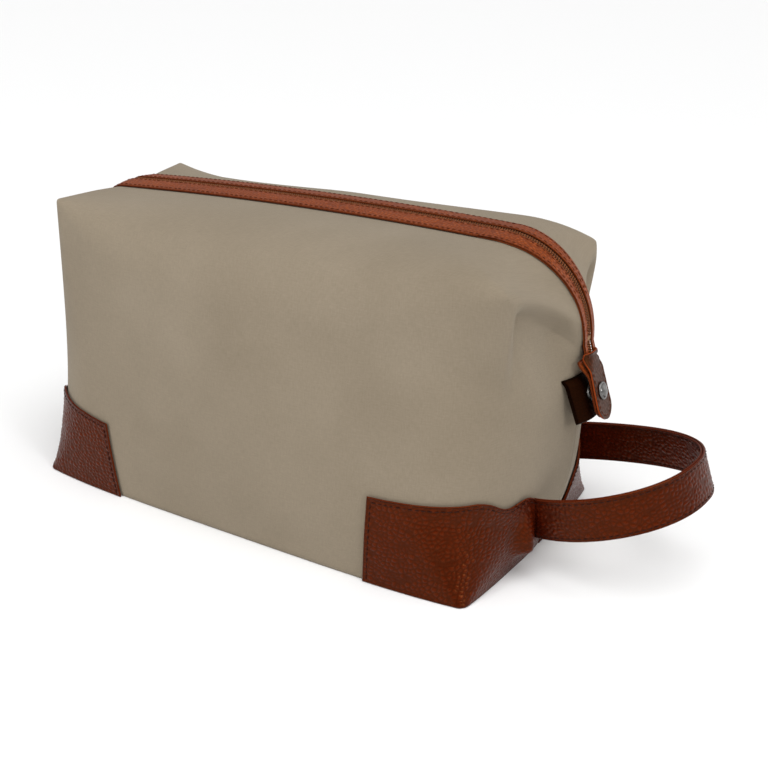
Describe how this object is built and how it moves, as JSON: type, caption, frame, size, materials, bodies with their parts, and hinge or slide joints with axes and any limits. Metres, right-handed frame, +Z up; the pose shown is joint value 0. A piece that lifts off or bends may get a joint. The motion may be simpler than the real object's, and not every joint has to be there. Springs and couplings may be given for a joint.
{
  "type": "shaving kit bag",
  "caption": "Soft canvas wash bag with leather corners, a zip along its ridge, a snap-down zip tab and a loop handle at one end.",
  "frame": {"origin": "middle of the underside of the base, on the surface the bag stands on", "axes": "+X along the bag towards the handle, +Y from the front panel to the back panel, +Z up"},
  "size_m": [0.3893, 0.164, 0.1681],
  "materials": {
    "canvas": "fine plain weave, matt",
    "lining": "thin woven lining",
    "board": "grey-brown stiffener board",
    "leather": "pebbled reddish brown, satin",
    "leather_tan": "pebbled tan brown, satin",
    "leather_dark": "smooth dark brown",
    "zip_tape": "brown woven tape",
    "zip_coil": "brown nylon coil",
    "brass": "antique, dull",
    "steel": "satin nickel"
  },
  "bodies": {
    "bag": {"front_panel": "canvas", "back_panel": "canvas", "base_panel": "canvas", "base_board": "board", "lining_front": "lining", "lining_back": "lining", "lining_base": "lining", "corner_front_left": "leather", "corner_front_right": "leather", "corner_back_left": "leather", "corner_back_right": "leather", "zip_facing_front": "leather_tan", "zip_facing_back": "leather_tan", "zip_tape_front": "zip_tape", "zip_tape_back": "zip_tape", "zip_coil_front": "zip_coil", "zip_coil_back": "zip_coil", "zip_stops": "brass", "zip_end_cover": "leather", "keeper_strap": "leather_dark", "snap_stud": "steel", "stud_rivet": "steel"},
    "slider": {"zip_slider": "brass"},
    "pull": {"zip_pull": "leather"},
    "tab": {"tab_outer": "leather_tan", "tab_inner": "leather_tan", "snap_cap": "steel", "snap_socket": "steel"},
    "handle": {"handle_outer": "leather", "handle_inner": "leather"}
  },
  "joints": [
    {"name": "zip_slide", "type": "slide", "parent": "bag", "child": "slider", "axis": [0.5592, 0, 0.829], "range_m": [0, 0.018]},
    {"name": "pull_swing", "type": "hinge", "parent": "slider", "child": "pull", "pos_m": [-0.15413, 0, 0.12805], "axis": [0, 1, 0], "range_deg": [0, 140]},
    {"name": "tab_lift", "type": "hinge", "parent": "bag", "child": "tab", "pos_m": [0.1584, 0, 0.1164], "axis": [0, -1, 0], "range_deg": [0, 110]},
    {"name": "handle_swing", "type": "hinge", "parent": "bag", "child": "handle", "pos_m": [0.146, -0.025, 0.031], "axis": [0.1602, -0.9838, -0.0801], "range_deg": [-25, 20], "stiffness_Nm_per_rad": 0.15, "springref_deg": 1.72}
  ]
}
